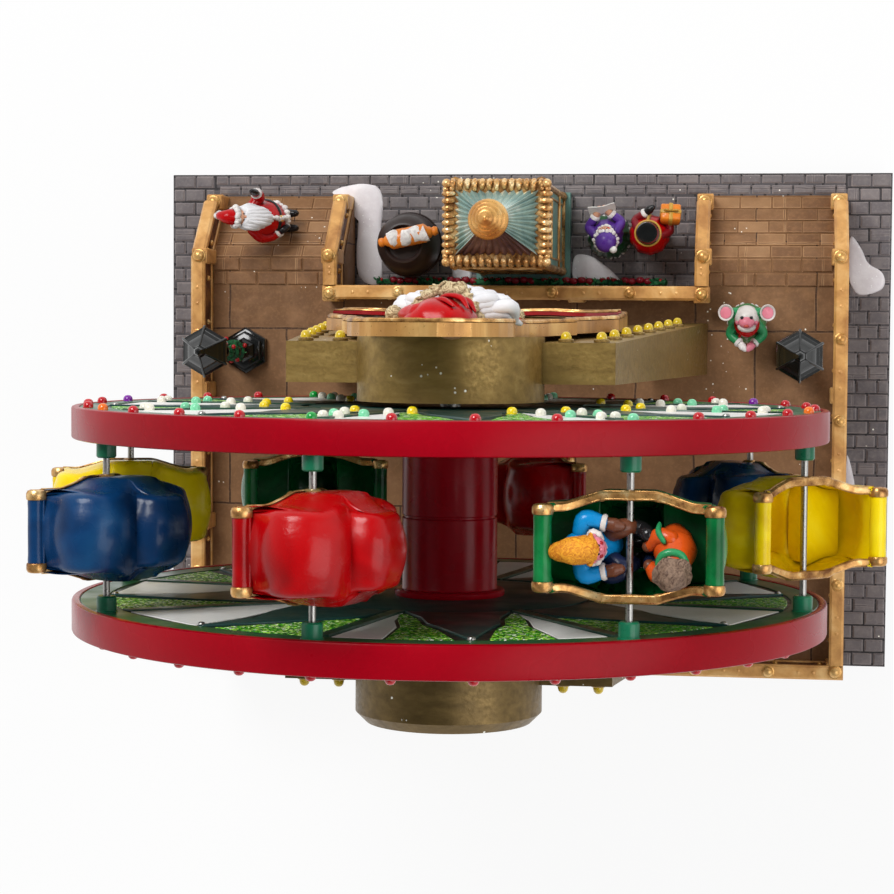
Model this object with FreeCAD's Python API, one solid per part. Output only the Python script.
import FreeCAD, Part
import math
import os
from FreeCAD import Vector

# A musical christmas ferris wheel standing on a raised plaza. Origin at the centre of the
# base's underside, +Z up, the front with the sign faces -Y. Millimetres.

# Base plinth
base_width = 364.0
base_depth = 245.0
foot_height = 2.0
foot_radius = 9.0
foot_inset = 20.0
plinth_height = 14.0
base_wall = 3.0
cover_thickness = 2.0
cover_clearance = 0.3
plinth_window_margin = 9.0
grille_end_gap = 5.0
paving_z = foot_height + plinth_height

# Raised deck with its two ramps and the notch between them
deck_rise = 30.0
deck_side_margin = 22.3
deck_rear_margin = 0.3
ramp_setback = 11.0
ramp_run = 32.0
notch_half_width = 86.9
notch_depth = 46.2
deck_z = paving_z + deck_rise
deck_half_width = base_width / 2 - deck_side_margin
deck_rear_y = base_depth / 2 - deck_rear_margin
ramp_foot_y = -base_depth / 2 + ramp_setback
ramp_top_y = ramp_foot_y + ramp_run
notch_back_y = ramp_foot_y + notch_depth

# Balustrade
rail_width = 6.8
rail_height = 22.0
rail_cap_height = 6.0
rail_panel_thickness = 4.6
post_size = 8.0
post_proud = 0.6
post_spacing = 64.0

# Wheel
wheel_radius = 145.0
wheel_clearance = 97.0
axis_z = deck_z + wheel_clearance + wheel_radius
wheel_mid_y = 28.5
disc_thickness = 12.0
disc_gap = 61.0
disc_recess = 0.8
disc_lip = 3.0
disc_wall = 2.6
disc_hub_wall = 5.0
face_plate_thickness = 2.0
wheel_phase = 11.1
gondola_count = 8
rod_inset = 7.0
rod_circle_radius = wheel_radius - rod_inset
rod_radius = 1.25
collar_radius = 3.6
collar_length = 6.3
fit_clearance = 0.05
front_disc_inner_y = wheel_mid_y - disc_gap / 2
rear_disc_inner_y = wheel_mid_y + disc_gap / 2
front_disc_outer_y = front_disc_inner_y - disc_thickness
rear_disc_outer_y = rear_disc_inner_y + disc_thickness
recess_radius = wheel_radius - disc_lip

# Spool, axle and drive
spool_radius = 18.5
spool_wall = 2.0
axle_radius = 4.0
bush_radius = 7.0
bush_length = 4.0
axle_head_proud = 2.0
axle_head_length = 2.0
axle_front_length = 7.0
axle_gear_end = 1.5
running_clearance = 0.06
gear_module = 1.0
wheel_gear_teeth = 30
pinion_teeth = 12
gear_width = 6.0
gear_bush_gap = 2.0
tooth_head = 0.9
tooth_depth = 1.15
pinion_core_radius = 1.0
pinion_stub_length = 4.0
motor_gap = 1.0
pinion_shaft_radius = 1.5
motor_radius = 11.0
motor_length = 12.0

# Bulbs
bulb_radius = 1.6
bulb_height = 3.0
outer_bulb_count = 32
outer_bulb_inset = 5.7
outer_bulb_radius = wheel_radius - outer_bulb_inset
star_inner_radius = 43.0
star_bulbs_per_edge = 4
star_bare_steps = 2

# Supports
support_thickness = 16.0
support_disc_gap = 8.9
support_rear_gap = 6.0
support_top_half_width = 64.0
support_foot_half_width = 93.0
support_top_height = 5.0
support_leg_width = 27.0
support_arch_top = -48.0
support_arch_draw_in = 14.0
support_arch_haunch = 18.0
support_arch_crown_share = 0.55
foot_splay = 8.9
drum_radius = 36.3
drum_wall = 2.6
drum_disc_gap = 2.0
front_drum_proud = 2.1
rear_drum_depth = 15.3
rear_drum_edge = 4.0
spigot_depth = 3.0
marquee_bulb_radius = 2.5
marquee_bulb_height = 3.4
marquee_bulbs_per_leg = 8
marquee_edge_inset = 7.0
marquee_drum_gap = 8.0
marquee_top_drop = 9.0
marquee_foot_rise = 50.0
bulb_seat_gap = 0.12

# Sign plaque
plaque_thickness = 5.0
plaque_lobe_radius = 30.6
plaque_lobe_height = 54.0
ribbon_thickness = 3.2

# Gondola, in its own axes: u along the car, v up, the rod at the origin
bench_u = 16.5
bench_v = -7.0
bench_radius = 13.8
footwell_v = -20.0
footwell_radius = 10.6
neck_angle = 32.0
neck_radius = 9.0
neck_end_angle = 28.0
scroll_radius = 3.2
scroll_half_width = 14.4
car_half_width = 18.0
car_end_half_width = 14.0
car_flat_half_length = 8.0
car_shoulder_u = 22.0
car_wall = 1.6
rim_centre_v = 2.6
rim_end_gap = 0.9
rim_flat_half_length = 9.0
boss_radius = 3.0
boss_proud = 0.9
bench_top_v = -11.0
bench_thickness = 1.6
bench_inner_u = 11.5
seat_gap = 0.05
rider_arm_lean = 25.0

# How far each car stands turned about its rod, in the order of the rods
gondola_tilts = [110.0, 110.0, 0.0, -41.5, -110.0, -100.0, -14.5, 162.0]

# Loudspeaker and circuit board on the bottom cover
speaker_x = 70.0
speaker_y = 40.0
speaker_radius = 26.0
grille_pitch = 8.0
grille_slot_width = 2.8
board_x = -60.0
board_y = 30.0
board_half_length = 40.0
board_half_width = 28.0
board_standoff = 5.0
board_thickness = 1.6

# Small scenery on the paving and the deck
lamp_edge_gap = 23.7
lamp_ramp_gap = 46.5
lamp_foot_radius = 11.5
lamp_stem_height = 71.0
lamp_foot_height = 5.0
lamp_step_height = 7.0
lamp_collar_height = 5.0
lamp_stem_radii = (3.2, 2.2)
lantern_radius = 10.0
lantern_low_share = 0.75
lantern_height = 16.0
lantern_eave_proud = 1.8
lantern_eave_height = 2.0
lantern_roof_height = 9.0
lantern_knob_height = 4.0
booth_setback = 26.7
booth_half_width = 20.0
booth_half_depth = 19.0
booth_wall_height = 118.0
booth_window_half_width = 12.0
booth_counter_height = 42.0
booth_window_height = 46.0
booth_window_depth = 9.0
booth_border_height = 7.0
booth_roof_rise = 26.0
booth_pleats = 6
booth_pleat_pull = 0.94
booth_roof_top_share = 0.16
booth_eave = (5.0, 1.0)
booth_border_width = (6.5, 5.5)
booth_skirt_proud = 3.5
booth_skirt_height = 8.0
booth_counter_proud = (3.0, 4.0)
booth_counter_thickness = 4.0
kettle_x = 55.0
kettle_booth_gap = 6.0
kettle_radius = 15.5
kettle_height = 45.0
kettle_fill = 42.5
loaf_length = 31.0
loaf_radius = 4.5
loaf_tip_radius = 2.2
loaf_clearance = 0.9
singer_height = 50.0
singer_x = (-43.0, -64.0)
singer_booth_gap = 1.0
santa_height = 56.0
santa_rail_gap = 25.7
santa_ramp_gap = 13.5
santa_lean = 24.0
animal_height = 50.0
animal_rail_gap = 21.7
animal_ramp_gap = 31.5

# Garland on the notch wall
garland_swags = 5
garland_swag_radius = 30.0
garland_thickness = 2.2
garland_end_gap = 14.0
garland_gap = 0.3
garland_low_z = paving_z + 14.0

# Controls and inlet on the deck's rear wall
control_z = 31.0
switch_x = 96.0
button_x = 72.0
inlet_x = 120.0
inlet_radius = 4.5
button_radius = 4.0
button_travel = 1.5
switch_travel = 3.0
switch_half_width = 2.0
switch_half_height = 2.0
switch_window_gap = 0.4
switch_tongue_proud = (2.0, 1.5)
button_gap = 0.3
flange_proud = 2.0
flange_thickness = 1.2
inlet_depth = 10.0
inlet_socket_radius = 2.8
inlet_socket_depth = 8.0
control_proud = 0.3
control_wall_gap = 0.2


def box(x0, x1, y0, y1, z0, z1):
    return Part.makeBox(x1 - x0, y1 - y0, z1 - z0, Vector(x0, y0, z0))


def cylinder_y(radius, y0, y1, x=0.0, z=0.0):
    return Part.makeCylinder(radius, y1 - y0, Vector(x, y0, z), Vector(0, 1, 0))


def prism_z(points, z0, z1):
    """Closed outline in XY, extruded up."""
    wire = Part.makePolygon([Vector(x, y, z0) for x, y in points + points[:1]])
    return Part.Face(wire).extrude(Vector(0, 0, z1 - z0))


def prism_y(points, y0, y1):
    """Closed outline in XZ, extruded along Y."""
    wire = Part.makePolygon([Vector(x, y0, z) for x, z in points + points[:1]])
    return Part.Face(wire).extrude(Vector(0, y1 - y0, 0))


def prism_x(points, x0, x1):
    """Closed outline in YZ, extruded along X."""
    wire = Part.makePolygon([Vector(x0, y, z) for y, z in points + points[:1]])
    return Part.Face(wire).extrude(Vector(x1 - x0, 0, 0))


def frustum_z(sides, low_radius, high_radius, z0, z1, x=0.0, y=0.0):
    """Straight-sided frustum on a regular outline."""
    def ring(radius, z):
        corners = [
            Vector(x + radius * math.cos(a), y + radius * math.sin(a), z)
            for a in (2 * math.pi * (i + 0.5) / sides for i in range(sides))
        ]
        return Part.makePolygon(corners + corners[:1])
    return Part.makeLoft([ring(low_radius, z0), ring(high_radius, z1)], True, True)


def turned(profile, x=0.0, y=0.0, z=0.0, sides=8):
    """Small turned piece with flat sides, from (radius, height) points; it starts and ends on its axis."""
    steps = [2 * math.pi * (i + 0.5) / sides for i in range(sides)]
    rings = []
    for r, h in profile:
        if r > 0:
            corners = [Vector(x + r * math.cos(a), y + r * math.sin(a), z + h) for a in steps]
            rings.append(corners)
    faces = [
        Part.Face(Part.makePolygon([low[i], low[(i + 1) % sides], high[(i + 1) % sides], high[i], low[i]]))
        for low, high in zip(rings, rings[1:]) for i in range(sides)
    ]
    for (r, h), ring in ((profile[0], rings[0]), (profile[-1], rings[-1])):
        flat = abs(ring[0].z - (z + h)) < 1e-9
        if flat:
            faces.append(Part.Face(Part.makePolygon(ring + ring[:1])))
        else:
            tip = Vector(x, y, z + h)
            faces += [
                Part.Face(Part.makePolygon([ring[i], ring[(i + 1) % sides], tip, ring[i]])) for i in range(sides)
            ]
    solid = Part.makeSolid(Part.makeShell(faces))
    return solid if solid.Volume > 0 else solid.reversed()


def ngon_y(sides, radius, y0, y1, x=0.0, z=0.0):
    """Prism along Y on a regular outline."""
    steps = [2 * math.pi * (i + 0.5) / sides for i in range(sides)]
    return prism_y([(x + radius * math.cos(a), z + radius * math.sin(a)) for a in steps], y0, y1)


def bore_y(radius, y0, y1, x=0.0, z=0.0):
    """Flat-sided bore whose flats lie at the radius, for a shaft that turns or is glued in it."""
    sides = 8
    return ngon_y(sides, radius / math.cos(math.pi / sides), y0, y1, x, z)


def ngon_z(sides, radius, z0, z1, x=0.0, y=0.0):
    """Upright prism on a regular outline."""
    steps = [2 * math.pi * (i + 0.5) / sides for i in range(sides)]
    return prism_z([(x + radius * math.cos(a), y + radius * math.sin(a)) for a in steps], z0, z1)


def arc_points(u, v, radius, start, end, count):
    """Points along an arc about u, v, both ends included."""
    angles = [math.radians(start + (end - start) * i / count) for i in range(count + 1)]
    return [(u + radius * math.cos(a), v + radius * math.sin(a)) for a in angles]


def fused(shapes):
    return shapes[0].multiFuse(shapes[1:]).removeSplitter() if len(shapes) > 1 else shapes[0]


def rotated(shape, centre, axis, degrees):
    turned_copy = shape.copy()
    turned_copy.rotate(centre, axis, degrees)
    return turned_copy


def moved(shape, x=0.0, y=0.0, z=0.0):
    moved_copy = shape.copy()
    moved_copy.translate(Vector(x, y, z))
    return moved_copy


def export(name, shapes):
    solids = [solid for shape in shapes for solid in shape.Solids]
    Part.makeCompound(solids).exportStep("parts/" + name + ".step")
    print(name, len(solids), "solids")


def wheel_xz(radius, angle):
    """Point on the wheel, its angle measured from the top towards -X."""
    a = math.radians(angle)
    return -radius * math.sin(a), axis_z + radius * math.cos(a)


def rod_angles():
    step = 360.0 / gondola_count
    return [wheel_phase + step * (i - 1.5) for i in range(gondola_count)]


# Base

def plinth():
    half_w = base_width / 2
    half_d = base_depth / 2
    body = box(-half_w, half_w, -half_d, half_d, foot_height, paving_z)
    hollow = box(
        -half_w + base_wall, half_w - base_wall,
        -half_d + base_wall, half_d - base_wall,
        foot_height - 1, paving_z - base_wall,
    )
    window = box(
        -deck_half_width + plinth_window_margin, deck_half_width - plinth_window_margin,
        notch_back_y + plinth_window_margin, deck_rear_y - plinth_window_margin,
        foot_height, paving_z + 1,
    )
    return body.cut(hollow).cut(window)


def bottom_cover():
    half_w = base_width / 2 - base_wall - cover_clearance
    half_d = base_depth / 2 - base_wall - cover_clearance
    plate = box(-half_w, half_w, -half_d, half_d, foot_height, foot_height + cover_thickness)
    for row in range(-2, 3):
        y = speaker_y + row * grille_pitch
        half_length = math.sqrt(speaker_radius ** 2 - (y - speaker_y) ** 2) - grille_end_gap
        slot = box(
            speaker_x - half_length, speaker_x + half_length,
            y - grille_slot_width / 2, y + grille_slot_width / 2, 0, foot_height + cover_thickness + 1,
        )
        plate = plate.cut(slot)
    return plate


def rubber_feet():
    x = base_width / 2 - foot_inset
    y = base_depth / 2 - foot_inset
    return [ngon_z(12, foot_radius, 0, foot_height, sx * x, sy * y) for sx in (-1, 1) for sy in (-1, 1)]


def deck_form():
    """Outer form of the plaza with a ramp each side of the notch."""
    side = [(ramp_foot_y, paving_z), (ramp_top_y, deck_z), (deck_rear_y, deck_z), (deck_rear_y, paving_z)]
    return fused([
        prism_x(side, notch_half_width, deck_half_width),
        prism_x(side, -deck_half_width, -notch_half_width),
        box(-notch_half_width, notch_half_width, notch_back_y, deck_rear_y, paving_z, deck_z),
    ])


def deck():
    solid = deck_form()
    inner_top = deck_z - base_wall
    slope = deck_rise / ramp_run
    foot_inner = ramp_foot_y + base_wall * math.hypot(1, slope) / slope
    knee_inner = foot_inner + (inner_top - paving_z) / slope
    rear = deck_rear_y - base_wall
    inner_side = [(foot_inner, paving_z - 1), (foot_inner, paving_z), (knee_inner, inner_top),
                  (rear, inner_top), (rear, paving_z - 1)]
    x0 = notch_half_width + base_wall
    x1 = deck_half_width - base_wall
    for hollow in (
        prism_x(inner_side, x0, x1),
        prism_x(inner_side, -x1, -x0),
        box(-x1, x1, notch_back_y + base_wall, rear, paving_z - 1, inner_top),
    ):
        solid = solid.cut(hollow)
    window_x = switch_travel / 2 + switch_half_width + switch_window_gap
    window_z = switch_half_height + switch_window_gap
    for hole in (
        box(switch_x - window_x, switch_x + window_x, rear - 1, deck_rear_y + 1,
            control_z - window_z, control_z + window_z),
        cylinder_y(button_radius + button_gap, rear - 1, deck_rear_y + 1, button_x, control_z),
        cylinder_y(inlet_radius, rear - 1, deck_rear_y + 1, inlet_x, control_z),
    ):
        solid = solid.cut(hole)
    return solid


def level_rail(x0, y0, x1, y1):
    """Panel and cap of a level run between two plan points, along X or Y."""
    half_panel = rail_panel_thickness / 2
    half_cap = rail_width / 2
    x_low, x_high = min(x0, x1), max(x0, x1)
    y_low, y_high = min(y0, y1), max(y0, y1)
    cap_z = deck_z + rail_height - rail_cap_height
    px = half_panel if x_low == x_high else half_cap
    py = half_panel if y_low == y_high else half_cap
    panel = box(x_low - px, x_high + px, y_low - py, y_high + py, deck_z, cap_z)
    cap = box(
        x_low - half_cap, x_high + half_cap, y_low - half_cap, y_high + half_cap,
        cap_z, deck_z + rail_height,
    )
    return [panel, cap]


def ramp_rail(x):
    """Sloping panel and cap beside a ramp, at one x."""
    cap = rail_cap_height
    high = rail_height
    start = ramp_foot_y + 0.5
    end = ramp_top_y
    slope = deck_rise / ramp_run
    rise = (start - ramp_foot_y) * slope
    foot_z = paving_z + rise
    panel = [(start, foot_z), (end, deck_z), (end, deck_z + high - cap), (start, foot_z + high - cap)]
    top = [(start, foot_z + high - cap), (end, deck_z + high - cap), (end, deck_z + high), (start, foot_z + high)]
    return [
        prism_x(panel, x - rail_panel_thickness / 2, x + rail_panel_thickness / 2),
        prism_x(top, x - rail_width / 2, x + rail_width / 2),
    ]


def post(x, y, z=deck_z):
    """Square balustrade post, a little taller than the rail."""
    half = post_size / 2
    return box(x - half, x + half, y - half, y + half, z, z + rail_height + post_proud)


outer_rail_x = deck_half_width - rail_width / 2
inner_rail_x = notch_half_width + rail_width / 2
rear_rail_y = deck_rear_y - rail_width / 2
notch_rail_y = notch_back_y + rail_width / 2


def spaced(low, high, spacing):
    """Evenly spaced places from low to high, both ends included."""
    count = max(1, round((high - low) / spacing))
    return [low + (high - low) * i / count for i in range(count + 1)]


def deck_rails():
    outer = level_rail(outer_rail_x, ramp_top_y, outer_rail_x, rear_rail_y)
    outer += level_rail(-outer_rail_x, ramp_top_y, -outer_rail_x, rear_rail_y)
    outer += level_rail(-outer_rail_x, rear_rail_y, outer_rail_x, rear_rail_y)
    outer += ramp_rail(outer_rail_x) + ramp_rail(-outer_rail_x)
    edge = (post_size - rail_width) / 2
    for sign in (-1, 1):
        x = sign * (outer_rail_x - edge)
        outer += [post(x, y) for y in spaced(ramp_top_y, rear_rail_y - edge, post_spacing)]
        outer.append(post(x, ramp_foot_y + post_size / 2, paving_z))
    outer += [post(x, rear_rail_y - edge) for x in spaced(-outer_rail_x, outer_rail_x, post_spacing)[1:-1]]
    inner = level_rail(inner_rail_x, ramp_top_y, inner_rail_x, notch_rail_y)
    inner += level_rail(-inner_rail_x, ramp_top_y, -inner_rail_x, notch_rail_y)
    inner += level_rail(-inner_rail_x, notch_rail_y, inner_rail_x, notch_rail_y)
    inner += ramp_rail(inner_rail_x) + ramp_rail(-inner_rail_x)
    for sign in (-1, 1):
        x = sign * (inner_rail_x + edge)
        inner.append(post(x, ramp_top_y))
        inner.append(post(x, ramp_foot_y + post_size / 2, paving_z))
    inner += [post(x, notch_rail_y + edge) for x in spaced(-inner_rail_x, inner_rail_x, post_spacing)]
    return [fused(outer).cut(deck_form()), fused(inner).cut(deck_form())]


# Controls and electronics in the base

def power_inlet():
    rear = deck_rear_y
    back = rear - base_wall
    barrel = ngon_y(12, inlet_radius - fit_clearance, rear - inlet_depth, rear, inlet_x, control_z)
    flange = ngon_y(6, inlet_radius + flange_proud, back - flange_thickness, back, inlet_x, control_z)
    socket = ngon_y(8, inlet_socket_radius, rear - inlet_socket_depth, rear + 1, inlet_x, control_z)
    pin = ngon_y(6, 1.0, rear - inlet_socket_depth, rear - 1, inlet_x, control_z)
    return barrel.fuse(flange).cut(socket).fuse(pin)


def power_switch():
    """Slide switch knob, at its off end, with the tongue that keeps it behind the wall."""
    rear = deck_rear_y
    x = switch_x - switch_travel / 2
    w = switch_half_width
    h = switch_half_height
    back = rear - base_wall - control_wall_gap
    knob = box(x - w, x + w, back, rear + control_proud, control_z - h, control_z + h)
    dx, dz = switch_tongue_proud
    tongue = box(x - w - dx, x + w + dx, back - 2, back, control_z - h - dz, control_z + h + dz)
    return knob.fuse(tongue).removeSplitter()


def song_button():
    rear = deck_rear_y
    back = rear - base_wall - control_wall_gap
    cap = cylinder_y(button_radius, back, rear + control_proud, button_x, control_z)
    flange = ngon_y(6, button_radius + flange_proud, back - flange_thickness, back, button_x, control_z)
    return cap.fuse(flange).removeSplitter()


def speaker():
    """Loudspeaker over the cover's slots: open frame ring, cone and magnet."""
    z = foot_height + cover_thickness
    r = speaker_radius
    ring = ngon_z(12, r, z, z + 3, speaker_x, speaker_y).cut(ngon_z(12, r - 4, z, z + 3, speaker_x, speaker_y))
    cone = turned([(0, 11), (8, 10), (r - 3.8, 0.8), (r - 3.8, 2.6), (10, 14), (10, 20), (0, 20)],
                  speaker_x, speaker_y, z, 12)
    return ring.fuse(cone)


def circuit_board():
    low = foot_height + cover_thickness
    board_z = low + board_standoff
    top = board_z + board_thickness
    board = box(board_x - board_half_length, board_x + board_half_length,
                board_y - board_half_width, board_y + board_half_width, board_z, top)
    chip = box(board_x - 10, board_x + 10, board_y - 8, board_y + 8, top, top + 2.5)
    capacitors = [ngon_z(6, 4, top, top + 10, board_x + 24 + 10 * i, board_y + 14) for i in range(2)]
    connector = box(board_x - 36, board_x - 26, board_y - 20, board_y + 4, top, top + 7)
    legs = []
    for sx in (-1, 1):
        for sy in (-1, 1):
            x = board_x + sx * (board_half_length - 5)
            y = board_y + sy * (board_half_width - 5)
            legs.append(box(x - 3, x + 3, y - 3, y + 3, low, board_z))
    return fused([board, chip, connector] + capacitors + legs)


# Scenery

lamp_x = deck_half_width - lamp_edge_gap
lamp_y = ramp_top_y + lamp_ramp_gap


def lamp_post(x, y):
    top = deck_z + lamp_stem_height
    foot_top = deck_z + lamp_foot_height
    stem_low = foot_top + lamp_step_height
    collar_low = top - lamp_collar_height
    low_radius, high_radius = lamp_stem_radii
    foot = frustum_z(6, lamp_foot_radius, lamp_foot_radius, deck_z, foot_top, x, y)
    step = frustum_z(6, lamp_foot_radius, 1.4 * low_radius, foot_top, stem_low, x, y)
    stem = frustum_z(8, low_radius, high_radius, stem_low, collar_low, x, y)
    collar = frustum_z(6, low_radius, lantern_low_share * lantern_radius, collar_low, top, x, y)
    return fused([foot, step, stem, collar])


def lantern(x, y):
    low = deck_z + lamp_stem_height
    eave_low = low + lantern_height
    eave_top = eave_low + lantern_eave_height
    roof_top = eave_top + lantern_roof_height
    eave_radius = lantern_radius + lantern_eave_proud
    cage = frustum_z(6, lantern_low_share * lantern_radius, lantern_radius, low, eave_low, x, y)
    eave = frustum_z(6, eave_radius, eave_radius, eave_low, eave_top, x, y)
    roof = frustum_z(6, 0.93 * eave_radius, 3.0, eave_top, roof_top, x, y)
    knob = frustum_z(6, 2.2, 1.0, roof_top, roof_top + lantern_knob_height, x, y)
    return fused([cage, eave, roof, knob])


booth_y = notch_back_y - booth_setback


def booth_body():
    w = booth_half_width
    d = booth_half_depth
    z = paving_z
    top = z + booth_wall_height
    body = box(-w, w, booth_y - d, booth_y + d, z, top)
    proud = booth_skirt_proud
    skirt = box(-w - proud, w + proud, booth_y - d - proud / 2, booth_y + d + proud, z, z + booth_skirt_height)
    half = booth_window_half_width
    sill = z + booth_counter_height
    front = booth_y - d
    window = box(-half, half, front - 1, front + booth_window_depth, sill, sill + booth_window_height)
    arch = cylinder_y(half, front - 1, front + booth_window_depth, 0, sill + booth_window_height)
    side, out = booth_counter_proud
    counter = box(-half - side, half + side, front - out, front, sill - booth_counter_thickness, sill)
    return fused([body, skirt, counter]).cut(window).cut(arch).removeSplitter()


def booth_roof():
    """Bordered rectangular roof that runs up in a pleated pyramid."""
    w = booth_half_width + booth_eave[0]
    d = booth_half_depth + booth_eave[1]
    low = paving_z + booth_wall_height
    rise = low + booth_border_height
    border = box(-w, w, booth_y - d, booth_y + d, low, rise)
    base = []
    half_x = w - booth_border_width[0]
    half_y = d - booth_border_width[1]

    def side(x0, y0, x1, y1):
        points = []
        for i in range(booth_pleats):
            share = i / booth_pleats
            points.append((x0 + (x1 - x0) * share, y0 + (y1 - y0) * share, 0.0))
            share = (i + 0.5) / booth_pleats
            points.append((x0 + (x1 - x0) * share, y0 + (y1 - y0) * share, 1.0))
        return points
    corners = [(-half_x, -half_y), (half_x, -half_y), (half_x, half_y), (-half_x, half_y)]
    for (x0, y0), (x1, y1) in zip(corners, corners[1:] + corners[:1]):
        base += side(x0, y0, x1, y1)
    low_ring = []
    high_ring = []
    for x, y, inset in base:
        pull = booth_pleat_pull if inset else 1.0
        low_ring.append(Vector(x * pull, booth_y + y * pull, rise))
        share = booth_roof_top_share
        high_ring.append(Vector(x * share, booth_y + y * share, rise + booth_roof_rise))
    pyramid = Part.makeLoft(
        [Part.makePolygon(low_ring + low_ring[:1]), Part.makePolygon(high_ring + high_ring[:1])], True, True,
    )
    return fused([border, pyramid])


def booth_finial():
    z = paving_z + booth_wall_height + booth_border_height + booth_roof_rise
    profile = [(0, 0), (5.0, 0), (8.0, 3.5), (8.0, 5.5), (6.4, 8.0), (4.4, 9.6), (4.4, 11.0), (2.2, 13.0), (0, 16.0)]
    return turned(profile, 0, booth_y, z, 10)


kettle_y = booth_y + kettle_booth_gap


def kettle():
    """Round pot on a foot, with a lipped rim and filled nearly to the top."""
    r = kettle_radius
    h = kettle_height
    profile = [(0, 0), (0.58 * r, 0), (0.58 * r, 2.5), (0.85 * r, 9), (r, 20), (r, 30), (0.87 * r, h - 4),
               (0.95 * r, h - 2), (0.95 * r, h), (0.8 * r, h), (0.76 * r, kettle_fill), (0, kettle_fill)]
    return turned(profile, kettle_x, kettle_y, paving_z, 12)


def iced_loaf():
    """Loaf with pinched ends, lying across the pot's rim."""
    half = loaf_length / 2
    r = loaf_radius
    tip = loaf_tip_radius
    neck = 0.65 * tip
    profile = [(0, -half), (tip, -half), (neck, -half + 5), (0.9 * r, -half + 8), (r, 0),
               (0.9 * r, half - 8), (neck, half - 5), (tip, half), (0, half)]
    roll = turned(profile, 0, 0, 0)
    roll = rotated(roll, Vector(0, 0, 0), Vector(0, 1, 0), 90)
    roll = rotated(roll, Vector(0, 0, 0), Vector(0, 0, 1), 12)
    return moved(roll, kettle_x - 3, kettle_y - 3, paving_z + kettle_height + tip + loaf_clearance)


def figure(height, width, hat_height, brim=0.0, arm_lean=65.0):
    """Small standing figure facing -Y: boots, coat, arms, head and hat, feet at the origin."""
    r = width / 2
    waist = 0.62 * r
    coat = turned([(0, 0.08 * height), (r, 0.14 * height), (0.76 * r, 0.40 * height),
                   (waist, 0.56 * height), (0, 0.62 * height)])
    head_z = 0.70 * height
    head_r = 0.115 * height
    head = turned([(0, head_z - 1.1 * head_r), (0.8 * head_r, head_z - 0.7 * head_r),
                   (head_r, head_z), (0.8 * head_r, head_z + 0.7 * head_r), (0, head_z + head_r)])
    hat_low = head_z + 0.35 * head_r
    if brim:
        crown = 0.9 * head_r
        hat = turned([(0, hat_low), (brim, hat_low), (brim, hat_low + 1.2), (crown, hat_low + 1.2),
                      (crown, hat_low + hat_height), (0, hat_low + hat_height)])
    else:
        hat = turned([(0, hat_low), (1.15 * head_r, hat_low), (1.15 * head_r, hat_low + 2.0),
                      (0.55 * head_r, hat_low + 0.75 * hat_height), (0, hat_low + hat_height)])
    boot_y = 0.75 * r
    pieces = [coat, head, hat, box(-0.7 * r, 0.7 * r, -boot_y, 0.4 * boot_y, 0, 0.14 * height)]
    for sign in (-1, 1):
        arm = frustum_z(4, 0.26 * r, 0.22 * r, 0, 0.28 * height)
        arm = rotated(arm, Vector(0, 0, 0), Vector(1, 0, 0), 180 - arm_lean)
        arm = rotated(arm, Vector(0, 0, 0), Vector(0, 0, 1), 12 * sign)
        pieces.append(moved(arm, sign * 0.52 * r, 0, 0.54 * height))
    return fused(pieces)


def placed_figure(shape, x, y, z, facing=0.0, lean_axis=None, lean=0.0):
    turned_copy = rotated(shape, Vector(0, 0, 0), Vector(0, 0, 1), facing)
    if lean_axis is not None:
        turned_copy = rotated(turned_copy, Vector(0, 0, 0), lean_axis, lean)
    return moved(turned_copy, x, y, z)


def carol_singers():
    y = booth_y + singer_booth_gap
    left_x, right_x = singer_x
    left = placed_figure(figure(singer_height, 20, 9), left_x, y, paving_z, 10)
    right = placed_figure(figure(singer_height, 20, 9, brim=5.6), right_x, y, paving_z, -15)
    return [left, right]


def santa_figure():
    """Waving figure on the left ramp, leaning back up the slope."""
    x = inner_rail_x + santa_rail_gap
    y = ramp_foot_y + santa_ramp_gap
    z = paving_z + deck_rise * santa_ramp_gap / ramp_run + 6.5
    body = figure(santa_height, 24, 12)
    leaned = placed_figure(body, x, y, z, -90, Vector(0, 1, 0), santa_lean)
    return leaned.cut(deck_form())


def animal_figure():
    x = -inner_rail_x - animal_rail_gap
    y = ramp_top_y + animal_ramp_gap
    body = figure(animal_height, 24, 5)
    ear = frustum_z(8, 4.6, 3.2, 0, 1.8)
    ear = rotated(ear, Vector(0, 0, 0), Vector(1, 0, 0), 90)
    ears = [moved(ear, sign * 9.0, 0.9, 40.0) for sign in (-1, 1)]
    stalks = [box(min(0, sign * 7.0), max(0, sign * 7.0), -0.8, 0.8, 37.5, 40.5) for sign in (-1, 1)]
    return placed_figure(fused([body] + ears + stalks), x, y, deck_z, 180)


def garland():
    """Swags of greenery hanging in front of the notch wall, as one scalloped band."""
    span = 2 * (notch_half_width - garland_end_gap) / garland_swags
    half_angle = math.degrees(math.asin(span / 2 / garland_swag_radius))
    y0 = notch_back_y - 2 * garland_thickness - garland_gap
    centre_z = garland_low_z + garland_swag_radius
    outer = []
    inner = []
    for i in range(garland_swags):
        x = -notch_half_width + garland_end_gap + span * (i + 0.5)
        low = garland_swag_radius + garland_thickness
        high = garland_swag_radius - garland_thickness
        outer += arc_points(x, centre_z, low, -90 - half_angle * 0.9, -90 + half_angle * 0.9, 4)
        inner += arc_points(x, centre_z, high, -90 - half_angle, -90 + half_angle, 4)[1 if i else 0:]
    return prism_y(outer + list(reversed(inner)), y0, y0 + 2 * garland_thickness)


# Supports and sign

support_inner_front = front_disc_outer_y - support_disc_gap
support_inner_rear = rear_disc_outer_y + support_rear_gap
support_front_y = support_inner_front - support_thickness
support_rear_y = support_inner_rear + support_thickness


def splay_at(z):
    """How far a support's outer face stands out at a height, growing from the axle to the foot."""
    return foot_splay * max(0.0, axis_z - z) / (axis_z - deck_z)


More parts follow.
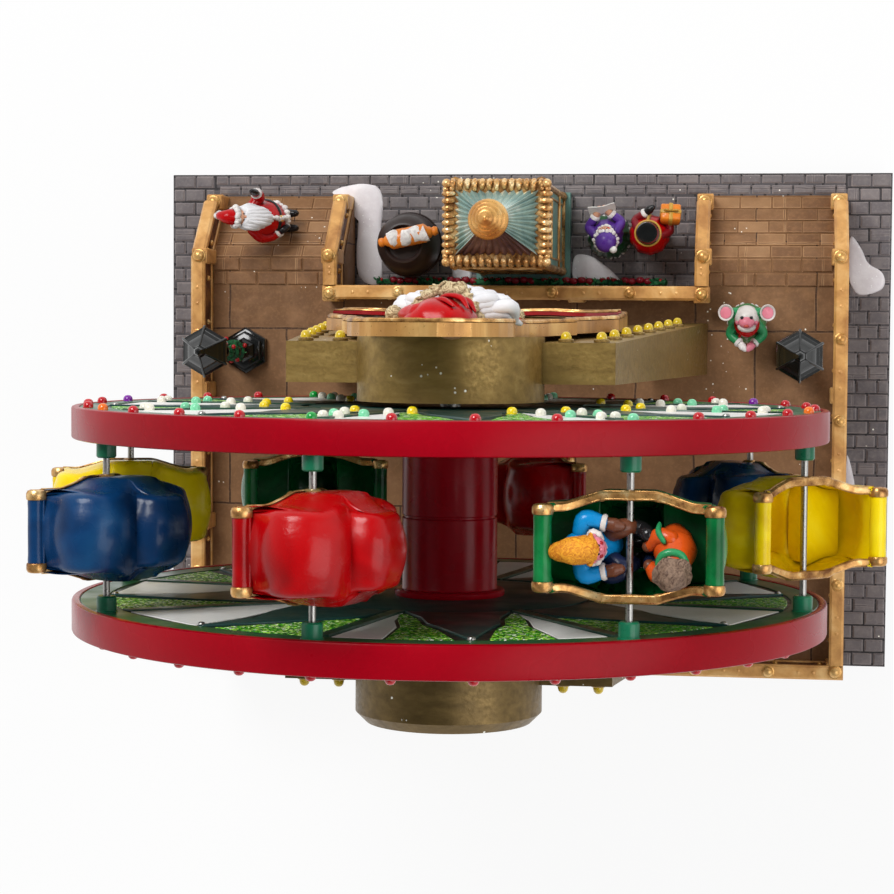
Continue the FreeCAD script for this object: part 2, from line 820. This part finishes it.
def splayed(outline, y_near, y_far, outward):
    """Outline in XZ made a plate with faces at y_near and y_far by the axle that splay outwards below it."""
    high = axis_z + 200
    low = deck_z - 5
    y_low = min(y_near, y_far) - 2 * foot_splay
    y_high = max(y_near, y_far) + 2 * foot_splay
    out = outward * splay_at(low)
    profile = [(y_near, high), (y_near, axis_z), (y_near + out, low),
               (y_far + out, low), (y_far, axis_z), (y_far, high)]
    width = 2 * support_foot_half_width
    return prism_y(outline, y_low, y_high).common(prism_x(profile, -width, width))


def support(front):
    """A-frame with its hub drum. The outer face splays out to the feet, the inner face is upright."""
    inner_y = support_inner_front if front else support_inner_rear
    outer_y = support_front_y if front else support_rear_y
    outward = -1 if front else 1
    top = axis_z + support_top_height
    foot = support_foot_half_width
    low = deck_z
    outline = [(-foot, low), (-support_top_half_width, top), (support_top_half_width, top), (foot, low)]
    plate = splayed(outline, outer_y - outward * 2 * support_thickness, outer_y, outward)
    wide = 2 * support_foot_half_width
    y0, y1 = sorted((inner_y, inner_y + outward * 4 * support_thickness))
    plate = plate.common(box(-wide, wide, y0, y1, low - 1, top + 1))
    leg = support_leg_width
    arch_z = axis_z + support_arch_top
    arch_foot = foot - leg
    arch_half = arch_foot - (foot - support_top_half_width) * (arch_z - low) / (top - low) - support_arch_draw_in
    crown = arch_half * support_arch_crown_share
    haunch_z = arch_z - support_arch_haunch
    arch = [(-arch_foot, low - 1), (-arch_half, haunch_z), (-crown, arch_z),
            (crown, arch_z), (arch_half, haunch_z), (arch_foot, low - 1)]
    plate = plate.cut(prism_y(arch, y0 - 1, y1 + 1))
    disc_side_y = front_disc_outer_y - drum_disc_gap if front else rear_disc_outer_y + drum_disc_gap
    drum_y0, drum_y1 = sorted((outer_y, disc_side_y))
    body = plate.fuse(cylinder_y(drum_radius, drum_y0, drum_y1, 0, axis_z)).removeSplitter()
    cover_y0, cover_y1 = sorted((outer_y, outer_y + outward * 2 * foot_splay))
    seat = cylinder_y(drum_radius + cover_clearance, cover_y0, cover_y1, 0, axis_z)
    wall_y = disc_side_y + outward * bush_length
    y0, y1 = sorted((wall_y, outer_y + outward))
    cavity = cylinder_y(drum_radius - drum_wall, y0, y1, 0, axis_z)
    y0, y1 = sorted((disc_side_y - outward, wall_y + outward))
    bore = ngon_y(6, bush_radius, y0, y1, 0, axis_z)
    return body.cut(seat).cut(cavity).cut(bore)


def front_hub_cover():
    cap = cylinder_y(drum_radius, support_front_y - front_drum_proud, support_front_y, 0, axis_z)
    outer = drum_radius - drum_wall - cover_clearance
    end = support_front_y + spigot_depth
    spigot = ngon_y(16, outer, support_front_y, end, 0, axis_z)
    spigot = spigot.cut(ngon_y(16, outer - drum_wall, support_front_y, end + 1, 0, axis_z))
    return cap.fuse(spigot).removeSplitter()


def rear_hub_cover():
    y0 = support_rear_y
    y1 = y0 + rear_drum_depth
    cap = cylinder_y(drum_radius, y0, y1, 0, axis_z)
    edges = [e for e in cap.Edges if abs(e.CenterOfMass.y - y1) < 0.01 and e.Length > drum_radius]
    cap = cap.makeChamfer(rear_drum_edge, edges)
    return cap.cut(ngon_y(16, drum_radius - drum_wall, y0 - 1, y1 - drum_wall, 0, axis_z))


def bulb_y(x, z, y, direction, radius, height, tip=0.55):
    """Small square-cut bulb standing on a face that looks along Y, pointed when its tip is 0."""
    corners = [(x + radius * math.cos(a), z + radius * math.sin(a)) for a in (math.pi / 2 * i for i in range(4))]
    base = Part.makePolygon([Vector(px, y, pz) for px, pz in corners + corners[:1]])
    if tip:
        top = [
            Vector(x + (px - x) * tip, y + direction * height, z + (pz - z) * tip) for px, pz in corners + corners[:1]
        ]
        return Part.makeLoft([base, Part.makePolygon(top)], True, True)
    return Part.makeLoft([base, Part.Vertex(Vector(x, y + direction * height, z))], True, True)


def leg_bulb_places():
    """Places down both legs, inside their outer edges, as (x, z)."""
    places = []
    support_top = axis_z + support_top_height
    top = support_top - marquee_top_drop
    low = deck_z + marquee_foot_rise
    for i in range(marquee_bulbs_per_leg):
        z = top - (top - low) * i / (marquee_bulbs_per_leg - 1)
        spread = (support_foot_half_width - support_top_half_width) * (support_top - z) / (support_top - deck_z)
        half = support_top_half_width + spread - marquee_edge_inset
        places += [(half, z), (-half, z)]
    inner = drum_radius + marquee_drum_gap
    places += [(inner, top), (-inner, top)]
    return places


def marquee_bulbs():
    bulbs = []
    for x, z in leg_bulb_places():
        for face_y, outward in ((support_front_y, -1), (support_rear_y, 1)):
            y = face_y + outward * (splay_at(z) + bulb_seat_gap)
            bulbs.append(bulb_y(x, z, y, outward, marquee_bulb_radius, marquee_bulb_height))
    return bulbs


def plaque_outline():
    """Right half of the sign's outline as (x, height above the axis), from the top down."""
    centre = plaque_lobe_height
    r = plaque_lobe_radius
    lobe = [(r * math.sin(math.radians(a)), centre + r * math.cos(math.radians(a))) for a in range(0, 121, 12)]
    flank = [(27.5, 24.0), (31.0, 6.0), (38.0, -10.0), (47.0, -22.0), (45.0, -34.0),
             (52.0, -48.0), (61.0, -62.0), (61.5, -96.0), (61.0, -122.0), (48.0, -130.0), (30.0, -128.0), (0.0, -138.0)]
    return lobe + flank


plaque_rear_y = support_front_y - front_drum_proud
plaque_front_y = plaque_rear_y - plaque_thickness


def sign_plaque():
    half = plaque_outline()
    points = [(x, axis_z + z) for x, z in half] + [(-x, axis_z + z) for x, z in reversed(half[1:-1])]
    return splayed(points, plaque_rear_y, plaque_front_y, -1)


def sign_ribbon():
    """Bare waved ribbon across the sign's wide lower part."""
    top = [(-60, -78), (-46, -70), (-24, -76), (0, -82), (24, -76), (46, -70), (60, -78)]
    low = [(x, z - 24) for x, z in reversed(top)]
    points = [(x, axis_z + z) for x, z in top + low]
    return splayed(points, plaque_front_y, plaque_front_y - ribbon_thickness, -1)


def relief_mass(x, z, half_width, depth, half_height, sides=8):
    """Rounded half body standing out of the sign's face, flat-sided like carved wood."""
    layers = [-1.0, -0.7, 0.0, 0.7, 1.0]
    rings = []
    for level in layers[1:-1]:
        share = math.sqrt(1 - level * level)
        ring = []
        for i in range(sides + 1):
            a = math.pi * i / sides
            ring.append(Vector(x + half_width * share * math.cos(a), plaque_front_y - depth * share * math.sin(a),
                               z + half_height * level))
        rings.append(ring)
    low = Vector(x, plaque_front_y, z - half_height)
    high = Vector(x, plaque_front_y, z + half_height)
    faces = []
    for lower, upper in zip(rings, rings[1:]):
        for i in range(sides):
            faces.append(Part.Face(Part.makePolygon([lower[i], lower[i + 1], upper[i + 1], lower[i]])))
            faces.append(Part.Face(Part.makePolygon([lower[i], upper[i + 1], upper[i], lower[i]])))
    for tip, ring in ((low, rings[0]), (high, rings[-1])):
        faces += [Part.Face(Part.makePolygon([tip, ring[i], ring[i + 1], tip])) for i in range(sides)]
    back = [low] + [ring[0] for ring in rings] + [high] + [ring[-1] for ring in reversed(rings)] + [low]
    faces.append(Part.Face(Part.makePolygon(back)))
    solid = Part.makeSolid(Part.makeShell(faces))
    return solid if solid.Volume > 0 else solid.reversed()


def santa_relief():
    """Bust in relief on the sign's upper lobe: shoulders, beard, head, fur trim, hat and pompom."""
    cz = axis_z + plaque_lobe_height
    return fused([
        relief_mass(-2, cz - 44, 28, 8, 20),
        relief_mass(-8, cz - 26, 17, 12, 18),
        relief_mass(-7, cz - 8, 14, 14, 14),
        relief_mass(-6, cz + 2, 18, 16, 5),
        relief_mass(-4, cz + 9, 14, 13, 15),
        relief_mass(11, cz + 3, 5, 9, 5, 6),
    ]).cut(sign_plaque())


# Wheel

def disc(front):
    """Rim and inner face as one moulding, open towards its face plate."""
    inner_y = front_disc_inner_y if front else rear_disc_inner_y
    outward = -1 if front else 1

    def ring(radius, a, b, make=cylinder_y):
        y0, y1 = sorted((inner_y + outward * a, inner_y + outward * b))
        return make(radius, y0, y1, 0, axis_z)

    def hidden(radius, y0, y1, x, z):
        return ngon_y(24, radius, y0, y1, x, z)
    t = disc_thickness
    plate_seat = t - disc_recess - face_plate_thickness
    floor = disc_recess + disc_wall
    hub = ring(axle_radius + disc_hub_wall, floor, plate_seat, hidden)
    body = ring(wheel_radius, 0, t)
    body = body.cut(ring(recess_radius, -1, disc_recess))
    body = body.cut(ring(recess_radius, plate_seat, t + 1))
    body = body.cut(ring(recess_radius - disc_wall, floor, plate_seat + 1, hidden).cut(hub))
    y0, y1 = sorted((inner_y - outward, inner_y + outward * (t + 1)))
    return body.cut(bore_y(axle_radius + fit_clearance, y0, y1, 0, axis_z))


def face_plate(front):
    outer_y = front_disc_outer_y if front else rear_disc_outer_y
    inward = 1 if front else -1
    y0, y1 = sorted((outer_y + inward * disc_recess, outer_y + inward * (disc_recess + face_plate_thickness)))
    plate = cylinder_y(recess_radius - 0.1, y0, y1, 0, axis_z)
    return plate.cut(bore_y(axle_radius + fit_clearance, y0 - 1, y1 + 1, 0, axis_z))


def star_bulb_places():
    """Bulbs along the eight-pointed star's edges, from its tips in to its inner corners."""
    places = []
    step = 360.0 / gondola_count
    for tip_angle in rod_angles():
        for side in (-1, 1):
            tx, tz = wheel_xz(outer_bulb_radius, tip_angle)
            ix, iz = wheel_xz(star_inner_radius, tip_angle + side * step / 2)
            for i in range(1, star_bulbs_per_edge + 1):
                share = i / (star_bulbs_per_edge + star_bare_steps)
                places.append((tx + (ix - tx) * share, tz + (iz - tz) * share))
    return places


def ring_bulb_places():
    return [wheel_xz(outer_bulb_radius, wheel_phase + 360.0 * i / outer_bulb_count) for i in range(outer_bulb_count)]


def wheel_bulbs():
    y_front = front_disc_outer_y + disc_recess
    y_rear = rear_disc_outer_y - disc_recess
    bulbs = [bulb_y(x, z, y_front, -1, bulb_radius, bulb_height) for x, z in ring_bulb_places()]
    bulbs += [bulb_y(x, z, y_front, -1, bulb_radius, bulb_height, 0) for x, z in star_bulb_places()]
    bulbs += [bulb_y(x, z, y_rear, 1, bulb_radius, bulb_height, 0) for x, z in ring_bulb_places()]
    return bulbs


def spool_half(front):
    """Half of the red spool: a cup with its closed end in the disc's recess."""
    if front:
        y0, y1 = front_disc_inner_y - disc_recess, wheel_mid_y
        hollow = ngon_y(12, spool_radius - spool_wall, y0 + spool_wall, y1 + 1, 0, axis_z)
    else:
        y0, y1 = wheel_mid_y, rear_disc_inner_y + disc_recess
        hollow = ngon_y(12, spool_radius - spool_wall, y0 - 1, y1 - spool_wall, 0, axis_z)
    body = cylinder_y(spool_radius, y0, y1, 0, axis_z).cut(hollow)
    return body.cut(bore_y(axle_radius + fit_clearance, y0 - 1, y1 + 1, 0, axis_z))


def rods():
    """Steel rods between the floors of the two discs."""
    y0 = front_disc_inner_y - disc_recess
    y1 = rear_disc_inner_y + disc_recess
    places = [wheel_xz(rod_circle_radius, angle) for angle in rod_angles()]
    return [ngon_y(8, rod_radius, y0, y1, x, z) for x, z in places]


def rod_collars():
    """Sleeves on both ends of each rod, up against the discs."""
    sides = 6
    inner = (rod_radius + fit_clearance) / math.cos(math.pi / sides)
    collars = []
    for angle in rod_angles():
        x, z = wheel_xz(rod_circle_radius, angle)
        low = front_disc_inner_y - disc_recess
        high = rear_disc_inner_y + disc_recess
        for y0, y1 in ((low, low + collar_length), (high - collar_length, high)):
            sleeve = ngon_y(sides, collar_radius, y0, y1, x, z)
            collars.append(sleeve.cut(ngon_y(sides, inner, y0 - 1, y1 + 1, x, z)))
    return collars


axle_front_y = front_disc_outer_y - drum_disc_gap - axle_front_length
gear_y = rear_disc_outer_y + drum_disc_gap + bush_length + gear_bush_gap
axle_rear_y = gear_y + gear_width + axle_gear_end


def axle():
    shaft = cylinder_y(axle_radius, axle_front_y, axle_rear_y, 0, axis_z)
    head_radius = axle_radius + axle_head_proud
    head = cylinder_y(head_radius, axle_front_y - axle_head_length, axle_front_y, 0, axis_z)
    return shaft.fuse(head).removeSplitter()


def axle_bushes():
    front_y1 = front_disc_outer_y - drum_disc_gap
    rear_y0 = rear_disc_outer_y + drum_disc_gap
    bushes = []
    for y0, y1 in ((front_y1 - bush_length, front_y1), (rear_y0, rear_y0 + bush_length)):
        ring = ngon_y(6, bush_radius, y0, y1, 0, axis_z)
        bushes.append(ring.cut(bore_y(axle_radius + running_clearance, y0 - 1, y1 + 1, 0, axis_z)))
    return bushes


def gear(teeth, x, z, y0, y1, bore, first_angle):
    """Spur gear with straight-flanked teeth, first tooth at the given angle from +X towards +Z."""
    pitch = gear_module * teeth / 2
    outer = pitch + tooth_head * gear_module
    root = pitch - tooth_depth * gear_module
    points = []
    step = 2 * math.pi / teeth
    for i in range(teeth):
        a = math.radians(first_angle) + i * step
        for share, r in ((-0.30, root), (-0.13, outer), (0.13, outer), (0.30, root)):
            points.append((x + r * math.cos(a + share * step), z + r * math.sin(a + share * step)))
    return prism_y(points, y0, y1).cut(bore_y(bore, y0 - 1, y1 + 1, x, z))


pinion_z = axis_z - gear_module * (wheel_gear_teeth + pinion_teeth) / 2


def wheel_gear():
    """Tooth gap straight down, where the pinion sits."""
    step = 360.0 / wheel_gear_teeth
    first = -90 + step / 2
    return gear(wheel_gear_teeth, 0, axis_z, gear_y, gear_y + gear_width, axle_radius + fit_clearance, first)


def motor_pinion():
    end = gear_y + gear_width
    body = gear(pinion_teeth, 0, pinion_z, gear_y, end, pinion_core_radius / 2, 90)
    solid_core = ngon_y(8, pinion_core_radius, gear_y, end, 0, pinion_z)
    stub = cylinder_y(pinion_shaft_radius, end, end + pinion_stub_length, 0, pinion_z)
    return fused([body, solid_core, stub])


def gear_motor():
    """Motor can seated in the rear hub cover, bored for the pinion's shaft."""
    y0 = gear_y + gear_width + motor_gap
    can = cylinder_y(motor_radius, y0, y0 + motor_length, 0, pinion_z)
    return can.cut(bore_y(pinion_shaft_radius + running_clearance, y0 - 1, y0 + pinion_stub_length, 0, pinion_z))


# Gondolas, built about their own rod and then turned and carried to their place

def neck_centre():
    """Centre of the hollow under the scroll, tangent to the bench's round."""
    phi = math.radians(neck_angle)
    reach = bench_radius + neck_radius
    return bench_u + reach * math.cos(phi), bench_v + reach * math.sin(phi)


def neck_end():
    """Where the end wall runs out under the scroll."""
    u, v = neck_centre()
    a = math.radians(180 - neck_end_angle)
    return u + neck_radius * math.cos(a), v + neck_radius * math.sin(a)


def rim_points():
    """Right half of the rim line from the middle outwards."""
    end_u, end_v = neck_end()
    rise = end_v - rim_centre_v
    run = end_u - rim_end_gap - rim_flat_half_length
    radius = (run * run + rise * rise) / (2 * rise)
    sweep = math.degrees(math.asin(run / radius))
    return arc_points(rim_flat_half_length, rim_centre_v + radius, radius, -90, -90 + sweep, 3)


def car_side_points(inset):
    """Right half of the side outline, shrunk by inset, from the footwell up to the scroll."""
    bench_r = bench_radius - inset
    foot_r = footwell_radius - inset
    neck_r = neck_radius + inset
    neck_u, neck_v = neck_centre()
    points = arc_points(0, footwell_v, foot_r, -90, -6, 2)
    points += arc_points(bench_u, bench_v, bench_r, -105, neck_angle, 4)
    points += arc_points(neck_u, neck_v, neck_r, 180 + neck_angle, 180 - neck_end_angle, 2)[1:]
    return points


def mirrored_outline(points):
    """Closed outline from its right half; the first point may lie on the axis of symmetry."""
    left = [(-u, v) for u, v in reversed(points) if abs(u) > 1e-9]
    return points + left


def car_plan(inset):
    """Plan outline, swelling at the middle, shrunk by inset."""
    wide = car_half_width - inset
    narrow = car_end_half_width - inset
    quarter = [(car_flat_half_length, wide), (car_shoulder_u, narrow), (40.0, narrow)]
    front = quarter + [(u, -w) for u, w in reversed(quarter)]
    return prism_z(front + [(-u, w) for u, w in reversed(front)], -40, 30)


def car_solid(inset):
    """The car's outer form far above the rim, or its inside when shrunk by the wall."""
    side = car_side_points(inset)
    high = 20.0
    outline = mirrored_outline(side + [(side[-1][0], high)])
    return prism_y(outline, -22, 22).common(car_plan(inset))


def car_rim_cut():
    """What lies above the rim line, apart from the end walls under the scrolls."""
    line = rim_points()
    far = 40.0
    outline = mirrored_outline([(0.0, line[0][1])] + line + [(far, line[-1][1]), (far, 30.0)])
    return prism_y(outline, -30, 30)


def gondola():
    """Sleigh body with scrolled ends, two benches and a bored boss on each side."""
    body = car_solid(0.0).cut(car_solid(car_wall)).cut(car_rim_cut())
    pieces = [body]
    for sign in (-1, 1):
        x0, x1 = sorted((sign * bench_inner_u, sign * (bench_u + bench_radius)))
        seat = box(x0, x1, -22, 22, bench_top_v - bench_thickness, bench_top_v)
        pieces.append(seat.common(car_solid(car_wall / 2)))
        u, v = neck_end()
        scroll_u = u + scroll_radius / 4
        pieces.append(ngon_y(6, scroll_radius, -scroll_half_width, scroll_half_width, sign * scroll_u, v))
        y0, y1 = sorted((sign * (car_half_width - car_wall - boss_proud), sign * (car_half_width + boss_proud)))
        pieces.append(ngon_y(6, boss_radius, y0, y1))
    return fused(pieces).cut(bore_y(rod_radius + running_clearance, -30, 30))


def carried(shape, index):
    """Turn a gondola piece about its rod and carry it to its place on the wheel."""
    x, z = wheel_xz(rod_circle_radius, rod_angles()[index])
    turned_copy = rotated(shape, Vector(0, 0, 0), Vector(0, 1, 0), gondola_tilts[index])
    return moved(turned_copy, x, wheel_mid_y, z)


def rider(u, height, width, hat_height, brim, facing, hidden_share=0.2):
    """Rider on a bench at u along the car; a seated one hides a share of its height."""
    hidden = hidden_share * height
    body = figure(height, width, hat_height, brim, rider_arm_lean)
    body = body.common(box(-40, 40, -40, 40, hidden, 2 * height))
    body = rotated(body, Vector(0, 0, 0), Vector(0, 0, 1), facing)
    return moved(body, u, 0, bench_top_v - hidden + seat_gap)


def main():
    os.makedirs("parts", exist_ok=True)
    export("base_plinth", [plinth()])
    export("bottom_cover", [bottom_cover()])
    export("rubber_feet", rubber_feet())
    export("deck", [deck()])
    export("deck_rails", deck_rails())
    export("power_inlet", [power_inlet()])
    export("power_switch", [power_switch()])
    export("song_button", [song_button()])
    export("speaker", [speaker()])
    export("circuit_board", [circuit_board()])
    export("lamp_posts", [lamp_post(lamp_x, lamp_y), lamp_post(-lamp_x, lamp_y)])
    export("lamp_lanterns", [lantern(lamp_x, lamp_y), lantern(-lamp_x, lamp_y)])
    export("booth_body", [booth_body()])
    export("booth_roof", [booth_roof()])
    export("booth_finial", [booth_finial()])
    export("kettle", [kettle()])
    export("iced_loaf", [iced_loaf()])
    export("carol_singers", carol_singers())
    export("santa_figure", [santa_figure()])
    export("animal_figure", [animal_figure()])
    export("garland", [garland()])
    export("front_support", [support(True)])
    export("rear_support", [support(False)])
    export("front_hub_cover", [front_hub_cover()])
    export("rear_hub_cover", [rear_hub_cover()])
    export("marquee_bulbs", marquee_bulbs())
    export("sign_plaque", [sign_plaque()])
    export("sign_ribbon", [sign_ribbon()])
    export("santa_relief", [santa_relief()])
    export("front_disc", [disc(True)])
    export("rear_disc", [disc(False)])
    export("front_face_plate", [face_plate(True)])
    export("rear_face_plate", [face_plate(False)])
    export("wheel_bulbs", wheel_bulbs())
    export("spool_halves", [spool_half(True), spool_half(False)])
    export("rods", rods())
    export("rod_collars", rod_collars())
    export("axle", [axle()])
    export("axle_bushes", axle_bushes())
    export("wheel_gear", [wheel_gear()])
    export("motor_pinion", [motor_pinion()])
    export("gear_motor", [gear_motor()])
    car = gondola()
    for index in range(gondola_count):
        export("gondola_" + str(index + 1), [carried(car, index)])
    export("riders_1", [carried(rider(15.0, 54.0, 14.0, 9.0, 5.2, -90.0, 0.0), 0)])
    export("riders_3", [
        carried(rider(15.0, 36.0, 15.0, 8.0, 0.0, -90.0), 2),
        carried(rider(-15.0, 36.0, 15.0, 6.0, 5.5, 90.0), 2),
    ])
    export("riders_5", [carried(rider(-14.0, 34.0, 15.0, 8.0, 0.0, 90.0), 4)])


main()
